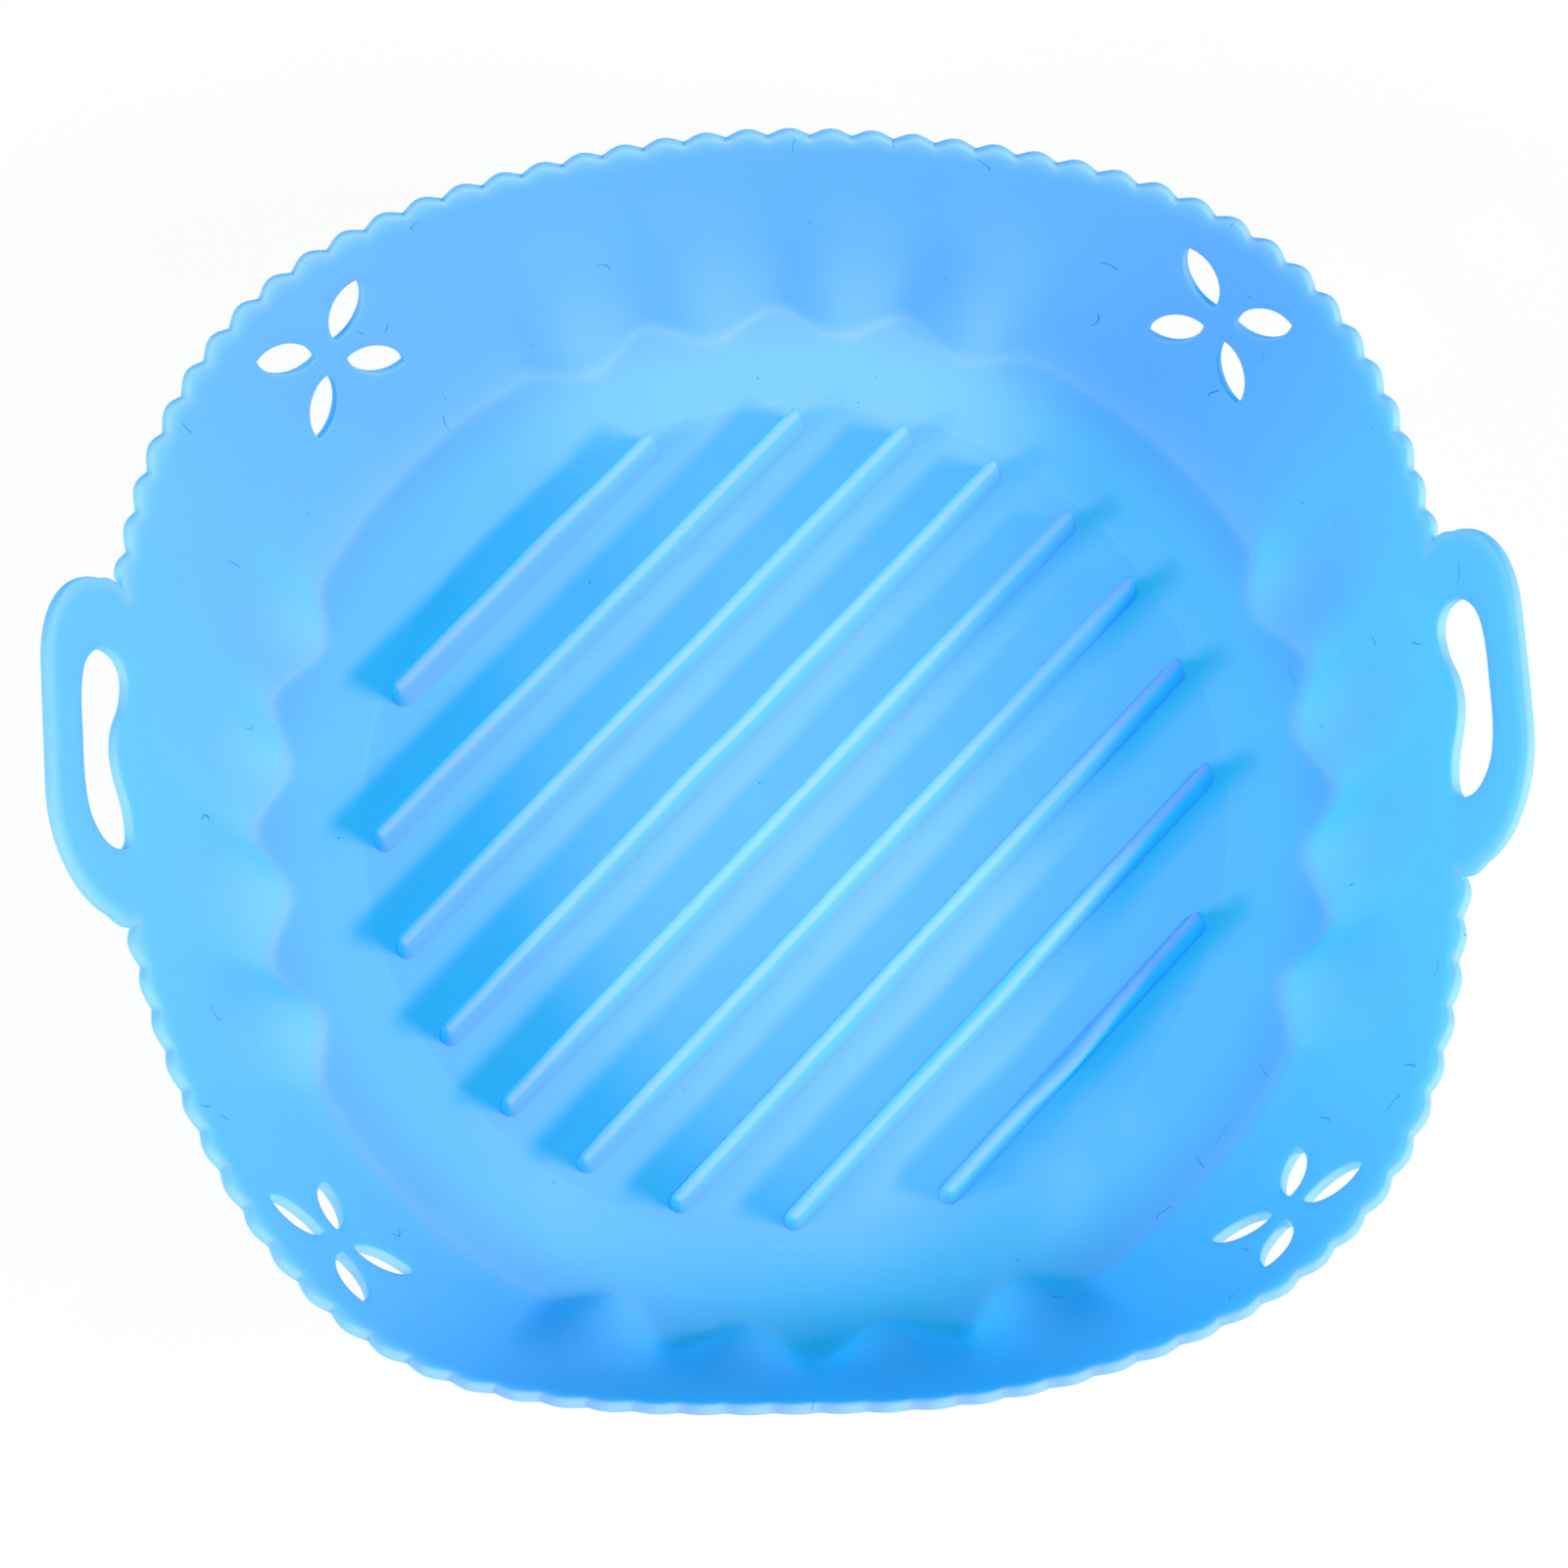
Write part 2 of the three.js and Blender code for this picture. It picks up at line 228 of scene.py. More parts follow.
class Skin:
    def __init__(self):
        self.points = []
        self.painted_light = []
        self.faces = []
        self.rounded = []
        self.count = 0

    def add(self, points, faces, painted_light=0.0, rounded=True):
        points = np.asarray(points, float).reshape(-1, 3)
        self.points.append(points)
        self.painted_light.append(np.broadcast_to(np.asarray(painted_light, float).ravel(), len(points)))
        self.faces += [[int(i) + self.count for i in face] for face in faces]
        self.rounded += [rounded] * len(faces)
        self.count += len(points)

    def grid(self, rows, closed=False, painted_light=0.0, skip=None):
        # The painted-light number is the same along a row, so it is given once for each row.
        rows = np.asarray(rows, float)
        n, m = rows.shape[:2]
        faces = []
        for i in range(n - 1):
            for j in range(m if closed else m - 1):
                if skip is None or not skip(i, j):
                    k = (j + 1) % m
                    faces.append((i * m + j, i * m + k, (i + 1) * m + k, (i + 1) * m + j))
        self.add(rows, faces, np.broadcast_to(np.reshape(painted_light, (-1, 1)), (n, m)))

    def build(self, name):
        mesh = bpy.data.meshes.new(name)
        points = slump(np.concatenate(self.points)) * MM
        mesh.from_pydata(points.tolist(), [], self.faces)
        mesh.polygons.foreach_set("use_smooth", self.rounded)
        painted_light = mesh.attributes.new("painted_light", "FLOAT", "POINT")
        painted_light.data.foreach_set("value", np.concatenate(self.painted_light))
        work = bmesh.new()
        work.from_mesh(mesh)
        bmesh.ops.remove_doubles(work, verts=work.verts, dist=WELD)
        bmesh.ops.recalc_face_normals(work, faces=work.faces)
        work.to_mesh(mesh)
        work.free()
        piece = bpy.data.objects.new(name, mesh)
        bpy.context.scene.collection.objects.link(piece)
        print(name, len(mesh.vertices), "points,", len(mesh.polygons), "faces")
        return piece


print("points are welded within", WELD / MM, "mm")

# %% [markdown]
# ## Columns round the liner
# The rim carries 42 scallops on each half, and the two ears stand between the halves. Columns of
# points are spread by equal length along the rim, so every scallop is the same size, and the same
# columns run down the wall and over the floor, which lets all patches meet point to point.

# %% Columns
SCALLOPS = 42
PER_SCALLOP = 8
EAR_COLUMNS = 56
SEAM = 36.0
TRACK_STEPS = 4000

# The ear's half width is a length, so its angle is found by asking the wall for its radius there.
ear_angle = 0.25
for _ in range(20):
    ear_angle = math.asin(EAR_HALF_WIDTH / float(wall_radius(ear_angle, SEAM)))


def even_columns(start, end, count):
    fine = np.linspace(start, end, TRACK_STEPS + 1)
    track = on_wall(fine, RIM_HEIGHT, 0.0)
    length = np.concatenate([[0], np.cumsum(np.linalg.norm(np.diff(track, axis=0), axis=1))])
    return np.interp(np.linspace(0, length[-1], count + 1), length, fine)


half_columns = even_columns(ear_angle, math.pi - ear_angle, SCALLOPS * PER_SCALLOP)
ear_columns = np.linspace(-ear_angle, ear_angle, EAR_COLUMNS + 1)
half_turn = np.concatenate([ear_columns[:-1], half_columns[:-1]])
turn = np.concatenate([half_turn, half_turn + math.pi])
print("columns:", len(turn), "ear angle in degrees:", round(math.degrees(ear_angle), 1))

# %% [markdown]
# ## Floor, heel and lower wall
# The sheet is drawn by its middle and then thickened both ways, as a moulder thinks of a wall
# thickness. The floor is flat, with a round recess under the ribs whose edge is only a faint step.
# The heel is a small curve between floor and wall, and its middle is painted a little paler,
# a painted highlight.

# %% Rows of the lower shell
HEEL = 3.0
HEEL_ROWS = 10
# Painted highlight: strength and reach of the pale band painted along the heel.
HEEL_PAINTED_HIGHLIGHT = 0.3
HEEL_HIGHLIGHT_REACH = 0.3
RECESS_RADIUS = 65.0
RECESS_DEPTH = 0.08
RECESS_STEP = 0.2
FLOOR_RINGS = [1e-3, 16, 32, 48, 60]
WINDOW_LOW = 12.0
WINDOW_HIGH = 35.0
FOOT_ROWS = 9
WINDOW_ROWS = 18

# Rings stand close together at the step of the recess, and the last one lies just past it.
circles = FLOOR_RINGS + [RECESS_RADIUS + k * RECESS_STEP for k in (-3, -1, 0, 1, 3, 20)]
floor_rows = [np.full(len(turn), float(r)) for r in circles]
foot = wall_radius(turn, FLOOR_MIDDLE)
floor_rows += [circles[-1] + (foot - HEEL - circles[-1]) * t for t in (0.25, 0.5, 0.75)]
heel_top = wall_radius(turn, FLOOR_MIDDLE + HEEL)
foot_heights = np.linspace(FLOOR_MIDDLE + HEEL, WINDOW_LOW, FOOT_ROWS)
window_heights = np.linspace(WINDOW_LOW + 1, WINDOW_HIGH, WINDOW_ROWS)
wall_heights = np.concatenate([foot_heights, window_heights, [SEAM]])


def ring_of_points(radius, z):
    return np.stack([radius * np.cos(turn), radius * np.sin(turn), z + 0 * radius], -1)


def shell_rows(side):
    rows = []
    for r in floor_rows:
        in_recess = 1 - smooth(r, RECESS_RADIUS - RECESS_STEP, RECESS_RADIUS + RECESS_STEP)
        step = RECESS_DEPTH * in_recess if side > 0 else 0
        rows.append(ring_of_points(r, FLOOR_MIDDLE + side * SHEET / 2 - step))
    middle = []
    for t in np.linspace(0, 1, HEEL_ROWS + 1):
        r = (1 - t) ** 2 * (foot - HEEL) + 2 * t * (1 - t) * foot + t**2 * heel_top
        middle.append(ring_of_points(r, FLOOR_MIDDLE + t**2 * HEEL))
    middle = np.array(middle)
    along = np.roll(middle, -1, 1) - np.roll(middle, 1, 1)
    normal = np.cross(np.gradient(middle, axis=0), along)
    normal /= np.linalg.norm(normal, axis=-1, keepdims=True)
    rows += list(middle[:-1] + normal[:-1] * side * SHEET / 2)
    rows += [on_wall(turn, z, side * SHEET / 2) for z in wall_heights]
    return rows


def shell_painted_highlight(row_count):
    across = np.linspace(-1, 1, HEEL_ROWS) / HEEL_HIGHLIGHT_REACH
    pale = np.zeros(row_count)
    pale[len(floor_rows) : len(floor_rows) + HEEL_ROWS] = HEEL_PAINTED_HIGHLIGHT * np.exp(-(across**2))
    return pale


print("rows on the floor and on the wall:", len(floor_rows), len(wall_heights))

# %% [markdown]
# ## Windows for the vents
# The inside and the outside are two grids of the same columns. In each corner a window is left open
# in both, which the vents fill later with a pattern of their own.

# %% Lower shell
WINDOW_HALF = math.radians(13.5)


def in_window(i, j):
    row = i - len(floor_rows) - HEEL_ROWS
    low_row, high_row = np.searchsorted(wall_heights, [WINDOW_LOW, WINDOW_HIGH])
    if not low_row <= row < high_row:
        return False
    ends = (turn[j], turn[(j + 1) % len(turn)])
    return all(abs(a % QUARTER - QUARTER / 2) <= WINDOW_HALF for a in ends)


skin = Skin()
for side in (1, -1):
    rows = shell_rows(side)
    skin.grid(rows, closed=True, painted_light=shell_painted_highlight(len(rows)), skip=in_window)
print("lower shell faces:", len(skin.faces))

# %% [markdown]
# ## The scalloped rim
# Each half of the rim is a row of small arches cut into the top of the wall. The edge is rounded
# all the way over, as it is where two mould halves meet, so light catches it, and the rounding and
# the band below it are also painted paler, a painted highlight. The profile of the rounding is a
# short list of insets and depths that every other cut edge uses again.

# %% Rim bands
SCALLOP_DEPTH = 1.4
VALLEY_SOFTNESS = 0.08
RIM_ROUND = 0.5
RIM_ROWS = 5
EDGE_PAINTED_HIGHLIGHT = 0.8
EDGE_STEPS = 5


def edge_profile(rounding):
    quarter = []
    for t in np.linspace(0, math.pi / 2, EDGE_STEPS):
        inset = rounding * (1 - math.sin(t))
        quarter.append((inset, SHEET / 2 - rounding * (1 - math.cos(t))))
    return quarter + [(inset, -depth) for inset, depth in reversed(quarter)]


# Painted highlight: a rounding is painted palest at its outer line.
def outer_painted_highlight(rounding):
    return [1 - (1 - EDGE_PAINTED_HIGHLIGHT) * inset / rounding for inset, _ in edge_profile(rounding)]


def rim_band(columns):
    wave = np.sin(math.pi * np.arange(len(columns)) / PER_SCALLOP)
    arch = np.hypot(wave, VALLEY_SOFTNESS) - VALLEY_SOFTNESS
    arch /= math.hypot(1, VALLEY_SOFTNESS) - VALLEY_SOFTNESS
    shoulder = RIM_HEIGHT - SCALLOP_DEPTH * (1 - arch) - RIM_ROUND
    shares = np.linspace(0, 1, RIM_ROWS + 1)[:-1]
    climb = [SEAM + (shoulder - SEAM) * t for t in shares]
    # Painted highlight: the band under the rim is painted paler towards the top.
    pale = [t * t * EDGE_PAINTED_HIGHLIGHT for t in shares]
    rows = [on_wall(columns, z, SHEET / 2) for z in climb]
    for inset, depth in edge_profile(RIM_ROUND):
        rows.append(on_wall(columns, shoulder + RIM_ROUND - inset, depth))
    rows += [on_wall(columns, z, -SHEET / 2) for z in reversed(climb)]
    skin.grid(rows, painted_light=pale + outer_painted_highlight(RIM_ROUND) + pale[::-1])


rim_band(half_columns)
rim_band(half_columns + math.pi)
print("scallops:", 2 * SCALLOPS)

# %% [markdown]
# ## Flat patterns with holes
# Vents and ears are easiest to draw flat, as a pattern cutter would, and then wrap on the wall. A
# flat shape with holes is filled with evenly spread points and divided by a constrained Delaunay
# triangulation, which keeps the outlines and gives well-shaped triangles, so the wrapped surface
# shades smoothly right up to its cut edges.

# %% Flat pattern tools
ROW_SHARE = 0.87
BORDER_SHARE = 0.7


def inside(points, loop):
    x, y = points[:, :1], points[:, 1:]
    a, b = loop.T, np.roll(loop, -1, 0).T
    span = np.where(b[1] == a[1], 1e-12, b[1] - a[1])
    crossing = ((a[1] > y) != (b[1] > y)) & (x < (b[0] - a[0]) * (y - a[1]) / span + a[0])
    return crossing.sum(1) % 2 == 1


def fill_pattern(outline, holes, spacing):
    loops = [outline, *holes]
    low, high = outline.min(0), outline.max(0)
    across = np.arange(low[0], high[0], spacing)
    x, y = np.meshgrid(across, np.arange(low[1], high[1], spacing * ROW_SHARE))
    x[::2] += spacing / 2
    free = np.stack([x.ravel(), y.ravel()], -1)
    keep = inside(free, outline)
    for loop in loops:
        gap = np.linalg.norm(free[:, None] - loop[None], axis=-1).min(1)
        keep &= gap > BORDER_SHARE * spacing
    for hole in holes:
        keep &= ~inside(free, hole)
    borders, start = [], 0
    for loop in loops:
        borders += [(start + i, start + (i + 1) % len(loop)) for i in range(len(loop))]
        start += len(loop)
    flat = [Vector(p) for p in np.concatenate([*loops, free[keep]])]
    points, _, faces, *_ = delaunay_2d_cdt(flat, borders, [], 0, 1e-7)
    points, faces = np.array([tuple(p) for p in points]), np.array(faces)
    middle = points[faces].mean(1)
    good = inside(middle, outline)
    for hole in holes:
        good &= ~inside(middle, hole)
    return points, faces[good]


def outward(loop):
    along = np.roll(loop, -1, 0) - np.roll(loop, 1, 0)
    next_point = np.roll(loop, -1, 0)
    turns = np.sign(np.sum(loop[:, 0] * next_point[:, 1] - loop[:, 1] * next_point[:, 0]))
    normal = np.stack([along[:, 1], -along[:, 0]], -1) * turns
    return normal / np.linalg.norm(normal, axis=1, keepdims=True)


print("free points keep", BORDER_SHARE, "of their spacing from an outline")

# %% [markdown]
# ## Petal vents
# Each corner has four almond-shaped holes, set diagonally, that let hot air through the wall. The
# corner windows of the lower shell are filled with a pattern that has the petals as holes, and the
# petal edges are rounded a little, as a trimmed or moulded hole in silicone always is. One side of
# a petal is a Bezier curve, and the other side is the same curve turned over.

# %% Vents
VENT_HEIGHT = 24.0
VENT_SPACING = 1.1
PETAL_OFFSET = 8.0
PETAL_LENGTH = 10.5
PETAL_WIDTH = 4.8
PETAL_ROUND = 0.3
PETAL_FULLNESS = 0.55
PETAL_STEPS = 20
SLOPE_LOW = 20.0
SLOPE_HIGH = 30.0


def petal(eighth):
    t = np.linspace(0, 1, PETAL_STEPS + 1)[:-1, None]
    tip, handle = PETAL_LENGTH / 2, PETAL_WIDTH * 2 / 3
    full = tip * PETAL_FULLNESS
    corners = [np.array(p) for p in ((-tip, 0), (-full, -handle), (full, -handle), (tip, 0))]
    weights = zip((1, 3, 3, 1), corners)
    arc = sum(k * (1 - t) ** (3 - i) * t**i * p for i, (k, p) in enumerate(weights))
    loop = np.concatenate([arc, -arc]) + (PETAL_OFFSET, 0)
    turn_by = eighth * math.pi / 4
    c, s = math.cos(turn_by), math.sin(turn_by)
    return loop @ np.array([[c, s], [-s, c]])


def add_vent(corner):
    radius = float(wall_radius(corner, VENT_HEIGHT))
    run = float(wall_radius(corner, SLOPE_HIGH) - wall_radius(corner, SLOPE_LOW))
    stretch = math.hypot(1, run / (SLOPE_HIGH - SLOPE_LOW))

    def wrap(flat, depth):
        return on_wall(corner + flat[:, 0] / radius, VENT_HEIGHT + flat[:, 1] / stretch, depth)

    columns = np.sort([a for a in turn % (2 * math.pi) if abs(a - corner) <= WINDOW_HALF])
    at_window = (wall_heights >= WINDOW_LOW - 1e-6) & (wall_heights <= WINDOW_HIGH + 1e-6)
    heights = wall_heights[at_window]
    frame_points = [(a, heights[0]) for a in columns]
    frame_points += [(columns[-1], z) for z in heights[1:]]
    frame_points += [(a, heights[-1]) for a in columns[-2::-1]]
    frame_points += [(columns[0], z) for z in heights[-2:0:-1]]
    window = [((a - corner) * radius, (z - VENT_HEIGHT) * stretch) for a, z in frame_points]
    petals = [petal(eighth) for eighth in (1, 3, 5, 7)]
    holes = [loop + outward(loop) * PETAL_ROUND for loop in petals]
    points, faces = fill_pattern(np.array(window), holes, VENT_SPACING)
    for side in (1, -1):
        skin.add(wrap(points, side * SHEET / 2), faces)
    profile = edge_profile(PETAL_ROUND)
    for loop in petals:
        rows = [wrap(loop + outward(loop) * inset, depth) for inset, depth in profile]
        # Painted highlight: each petal's rounding is painted paler towards its cut edge.
        skin.grid(rows, closed=True, painted_light=[1 - inset / PETAL_ROUND for inset, _ in profile])


for quarter in range(4):
    add_vent((quarter + 0.5) * math.pi / 2)
bowl = skin.build("liner_bowl")

# %% [markdown]
# ## Outlines of the loop ears
# An ear is a loop that grows out of the rim, with a bean-shaped finger slot whose lower edge is
# humped like a thumb rest. It is drawn flat, as seen square on: the sides and top from straight
# stretches and arcs, and the slot as a smooth curve through a few points of its right half, which
# is then mirrored.

# %% Ear outlines
EAR_RISE = 19.5
EAR_CORNER = 15.0
EAR_FLARE = 0.7
FLARE_LENGTH = 6.0
CORNER_START = 0.12
SLOT_TOP = [(0, 11.8), (6, 11.7), (10.4, 10.5), (13.2, 7.6), (14, 4.4)]
SLOT_BOTTOM = [(13.2, 1.4), (11, 0), (7.6, 0.6), (3.6, 2.8), (0, 3.6)]
SLOT_STEPS = 6


def ear_outline():
    corner_x = EAR_HALF_WIDTH - EAR_CORNER
    corner_q = EAR_RISE - EAR_CORNER
    side = []
    for q in np.linspace(0, corner_q, 6):
        side.append((EAR_HALF_WIDTH + EAR_FLARE * math.sin(math.pi * q / FLARE_LENGTH), q))
    for t in np.linspace(CORNER_START, math.pi / 2, 28):
        side.append((corner_x + EAR_CORNER * math.cos(t), corner_q + EAR_CORNER * math.sin(t)))
    right = np.array(side)
    top_x = np.linspace(corner_x, -corner_x, 18)[1:-1]
    top = np.stack([top_x, np.full(len(top_x), EAR_RISE)], -1)
    return np.concatenate([right, top, right[::-1] * (-1, 1)])


def finger_slot():
    right = SLOT_TOP + SLOT_BOTTOM
    knots = np.array([*right, *[(-y, q) for y, q in right[-2:0:-1]]], float)
    before, here, beyond, after = (np.roll(knots, k, 0)[:, None] for k in (1, 0, -1, -2))
    t = np.linspace(0, 1, SLOT_STEPS + 1)[None, :-1, None]
    cubic = 3 * (here - beyond) + after - before
    square = 2 * before - 5 * here + 4 * beyond - after
    curve = here + t / 2 * (beyond - before + t * (square + t * cubic))
    return curve.reshape(-1, 2)


print("points of the ear and slot outlines:", len(ear_outline()), len(finger_slot()))

# %% [markdown]
# ## Ears on the wall
# The flat ear is wrapped on the same sheet as the wall, and starts just below the rim, where the
# bowl's skin stops. Its border there repeats the bowl's own points, so the two skins meet without a
# gap. Both are left open at that seam, because a closing face inside a translucent sheet would show
# as a dark line.

# %% Ears
EAR_ROUND = 0.5
SLOT_ROUND = 0.35
EAR_SPACING = 0.9
HIGHLIGHT_MARGIN = 2.0


def ear_place(flat, turn_by, depth):
    y, z = flat[:, 0], BEND_Z + flat[:, 1] * math.cos(EAR_LEAN)
    angle = y / BEND_X
    for _ in range(12):
        angle = np.arcsin(y / wall_radius(angle, z))
    return on_wall(angle + turn_by, z, depth)


def seam_border():
    shoulder = RIM_HEIGHT - SCALLOP_DEPTH - RIM_ROUND
    side_z = np.linspace(SEAM, shoulder, RIM_ROWS + 1)[1:-1]
    z = np.concatenate([side_z[::-1], np.full(len(ear_columns), SEAM), side_z])
    side_angle = np.full(len(side_z), ear_angle)
    angles = np.concatenate([-side_angle, ear_columns, side_angle])
    y = wall_radius(angles, z) * np.sin(angles)
    return np.stack([y, (z - BEND_Z) / math.cos(EAR_LEAN)], -1)


def build_ear(name, turn_by):
    ear = Skin()
    top, slot, border = ear_outline(), finger_slot(), seam_border()
    whole = np.concatenate([border, top])
    points, faces = fill_pattern(whole, [slot + outward(slot) * SLOT_ROUND], EAR_SPACING)
    # Painted highlight: the ear is painted paler near its outline, and its rounded top and slot
    # edges too.
    margin = np.linalg.norm(points[:, None] - top[None], axis=-1).min(1)
    pale = EDGE_PAINTED_HIGHLIGHT * (1 - smooth(margin, 0, HIGHLIGHT_MARGIN))
    for side in (1, -1):
        ear.add(ear_place(points, turn_by, side * SHEET / 2), faces, pale)
    away = outward(whole)[len(border) :]
    rows = []
    for inset, depth in edge_profile(EAR_ROUND):
        rows.append(ear_place(top + away * (EAR_ROUND - inset), turn_by, depth))
    ear.grid(rows, painted_light=outer_painted_highlight(EAR_ROUND))
    profile = edge_profile(SLOT_ROUND)
    rows = [ear_place(slot + outward(slot) * inset, turn_by, depth) for inset, depth in profile]
    ear.grid(rows, closed=True, painted_light=[1 - inset / SLOT_ROUND for inset, _ in profile])
    return ear.build(name)


right_ear = build_ear("right_ear_loop", 0.0)
left_ear = build_ear("left_ear_loop", math.pi)

# %% [markdown]
# ## Ribs
# Nine ribs run across the floor and lift the food out of its fat. A rib has a round top, sides that
# draw in so that it leaves the mould, and a small fillet at its foot all the way round. It is built
# from level outlines stacked from the floor up, which gives the ends the same draft as the sides.
# Soft ribs also lean a little here and there.

# %% Rib outlines
RIB_PITCH = 13.9
RIB_FIELD = 62.5
RIB_HEIGHT = 6.0
RIB_FOOT = 1.5
RIB_TOP = 0.8
RIB_FILLET = 0.25
SIDE_STEPS = 40


def rib_levels():
    quarter = np.linspace(0, math.pi / 2, 6)
    rise = RIB_HEIGHT - RIB_TOP
    levels = []
    for t in quarter:
        levels.append((RIB_FOOT + RIB_FILLET * (1 - math.sin(t)), RIB_FILLET * (1 - math.cos(t))))
    for t in (0.25, 0.5, 0.75):
        half = RIB_FOOT + (RIB_TOP - RIB_FOOT) * t
        levels.append((half, RIB_FILLET + (rise - RIB_FILLET) * t))
    for t in quarter:
        levels.append((RIB_TOP * math.cos(t), rise + RIB_TOP * math.sin(t)))
    return levels


def level_outline(reach, half):
    straight = np.linspace(-reach + half, reach - half, SIDE_STEPS + 1)
    cap = np.linspace(math.pi / 2, -math.pi / 2, 11)
    far = np.stack([straight[-1] + half * np.cos(cap), half * np.sin(cap)], -1)
    side = np.stack([straight[1:-1], np.full(SIDE_STEPS - 1, half)], -1)
    return np.concatenate([far, side[::-1] * (1, -1), -far, side])


print("levels in a rib:", len(rib_levels()))

# %% [markdown]
# ## Nine ribs in a round field
# The field is a circle, so each rib is as long as the circle allows at its distance from the middle.
# The flanks of a rib are painted a deeper blue, painted shade for the shadow along its sides and
# for its thick, less translucent section. The crest is painted paler, a painted highlight.

# %% Ribs
RIB_FLOOR = 1.46
MIDDLE_RIB = 5
# For the ribs that lean: millimetres at the crest, and where along the rib, from -1 to 1.
RIB_LEAN = {1: (0.35, 0.2), 2: (-0.25, -0.3), 5: (0.2, 0.4), 8: (-0.5, -0.1), 9: (-0.9, -0.05)}
LEAN_REACH = 0.3
FLANK_PAINTED_SHADE = -0.25
CREST_PAINTED_HIGHLIGHT = 0.5
CREST_FROM = 1.6
CREST_FULL = 0.5


def build_rib(number):
    offset = (MIDDLE_RIB - number) * RIB_PITCH
    reach = math.sqrt(RIB_FIELD**2 - offset**2)
    lean, middle = RIB_LEAN.get(number, (0, 0))
    rows, tint = [], []
    for half, z in rib_levels():
        flat = level_outline(reach - (RIB_FOOT - half), max(half, 1e-4))
        near = np.exp(-(((flat[:, 0] / reach - middle) / LEAN_REACH) ** 2))
        x = flat[:, 0]
        y = flat[:, 1] + offset + lean * near * z / RIB_HEIGHT
        level = np.full(len(x), RIB_FLOOR + z)
        rows.append(np.stack([(x - y) / math.sqrt(2), (x + y) / math.sqrt(2), level], -1))
        # Painted shade on the flanks, rising to a painted highlight on the crest.
        crest = smooth(z, RIB_HEIGHT - CREST_FROM, RIB_HEIGHT - CREST_FULL)
        tint.append(FLANK_PAINTED_SHADE + (CREST_PAINTED_HIGHLIGHT - FLANK_PAINTED_SHADE) * crest)
    rib = Skin()
    rib.grid(rows, closed=True, painted_light=tint)
    rib.add(rows[0], [range(len(rows[0]))], tint[0], rounded=False)
    return rib.build(f"grill_rib_{number}")


ribs = [build_rib(number) for number in range(1, 10)]

# %% [markdown]
# ## Tools for a material
# Colours are written as sRGB hex values, as a colour picker shows them, and one function turns them
# into the linear values that Blender mixes. Another adds a node: it takes the inputs as numbers or
# as sockets to link, and the node's settings by name. It hands back the node's outputs, which is
# all that the next node needs, so a material reads from top to bottom.

# %% Colour and node helpers


def linear(hex_colour):
    parts = [int(hex_colour[i : i + 2], 16) / 255 for i in (1, 3, 5)]
    return [c / 12.92 if c <= 0.04045 else ((c + 0.055) / 1.055) ** 2.4 for c in parts] + [1.0]


def add_node(tree, kind, inputs=None, **settings):
    node = tree.nodes.new(kind)
    for key, value in settings.items():
        setattr(node, key, value)
    for key, value in (inputs or {}).items():
        if isinstance(value, bpy.types.NodeSocket):
            tree.links.new(value, node.inputs[key])
        else:
            node.inputs[key].default_value = value
    return node.outputs


def new_material(name):
    material = bpy.data.materials.new(name)
    material.use_nodes = True
    material.node_tree.nodes.clear()
    return material, material.node_tree


print("sRGB middle grey in linear light:", round(linear("#808080")[0], 3))

# %% [markdown]
# ## Blue silicone
# Moulded silicone rubber is a soft, slightly cloudy translucent solid. Light goes into it, scatters
# and comes out again, also on the far side, so shadows on it fill with blue. Pale thin edges and
# deeper thick sections are painted into the colour, as painted highlight and painted shade. The wall
# is painted a darker tone than the floor, painted shade for the light that meets them at different
# slants, and the floor ring outside the recess has a faint tone step of its own and is painted
# lighter still, painted light where the walls shade it. The zones are told apart by the distance
# from the middle. A faint cloud of a few centimetres keeps the colour from looking painted.

# %% Tone of the silicone
RECESS_TONE = "#ccbcff"
RING_TONE_AND_PAINTED_LIGHT = "#d3c6ff"
WALL_PAINTED_SHADE_TONE = "#98b3f6"
PAINTED_HIGHLIGHT_TONE = "#c4d2ff"
PAINTED_SHADE_TONE = "#6fd2ff"
WALL_FROM = 73.0
WALL_FULL = 85.0
CLOUD_SIZE = 35.0
CLOUD_DARK = 0.94
CLOUD_LIGHT = 1.06

silicone, tree = new_material("blue_silicone_rubber_moulded")
where = add_node(tree, "ShaderNodeTexCoord")["Object"]
painted_light = add_node(tree, "ShaderNodeAttribute", attribute_name="painted_light")["Fac"]
plan = add_node(tree, "ShaderNodeVectorMath", {0: where, 1: (1, 1, 0)}, operation="MULTIPLY")[0]
distance = add_node(tree, "ShaderNodeVectorMath", {0: plan}, operation="LENGTH")["Value"]
recess_edge = (RECESS_RADIUS - RECESS_STEP, RECESS_RADIUS + RECESS_STEP)
wall_foot = (WALL_FROM, WALL_FULL)
zones = []
for start, full in (recess_edge, wall_foot):
    limits = {"Value": distance, "From Min": start * MM, "From Max": full * MM}
    zones.append(add_node(tree, "ShaderNodeMapRange", limits)[0])
past_recess, on_the_wall = zones
below_zero = {"Value": painted_light, "From Min": 0.0, "From Max": -1.0}
flank_shade = add_node(tree, "ShaderNodeMapRange", below_zero)[0]
cloud_noise = {"Vector": where, "Scale": 1 / (CLOUD_SIZE * MM), "Detail": 2.0}
cloud = add_node(tree, "ShaderNodeTexNoise", cloud_noise)["Fac"]
cloud_range = {"Value": cloud, "To Min": CLOUD_DARK, "To Max": CLOUD_LIGHT}
shade = add_node(tree, "ShaderNodeMapRange", cloud_range)[0]


